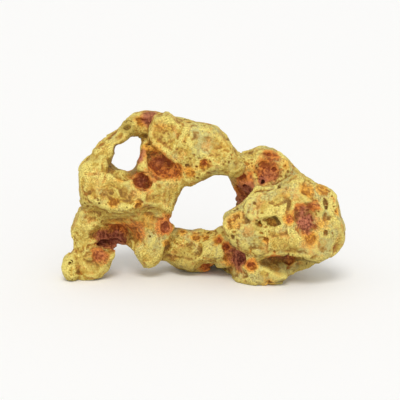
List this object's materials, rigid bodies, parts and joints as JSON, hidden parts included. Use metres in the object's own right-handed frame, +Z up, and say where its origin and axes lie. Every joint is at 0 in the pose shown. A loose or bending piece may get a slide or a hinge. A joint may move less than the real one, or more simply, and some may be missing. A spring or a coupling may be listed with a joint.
{
  "type": "aquarium cave ornament",
  "caption": "Hollow rock arch for an aquarium: a ring of pitted rock round a swim-through window, with a smaller window, a den over a doorway and a cave behind a boulder.",
  "frame": {"origin": "on the surface the ornament stands on, below the middle of its bounding box", "axes": "+X towards the end with the big boulder, +Y away from the viewer towards the back, +Z up"},
  "size_m": [0.2402, 0.0979, 0.1439],
  "materials": {
    "rock": "matt painted resin with a grainy rock texture, cream and ochre with rust-red hollows",
    "pin": "plain"
  },
  "bodies": {
    "root": {"crown_block": "rock", "rear_arch": "rock", "left_brow": "rock", "alcove_shell": "rock", "left_foot": "rock", "base_ledge": "rock", "mid_foot": "rock", "right_toe": "rock", "rear_column": "rock", "shoulder_block": "rock", "front_boulder": "rock", "crown_pins": "pin", "arch_pin": "pin", "brow_pins": "pin", "foot_pin": "pin", "ledge_pins": "pin", "mid_foot_pin": "pin", "shoulder_pin": "pin", "column_pins": "pin", "boulder_pins": "pin"}
  },
  "joints": []
}
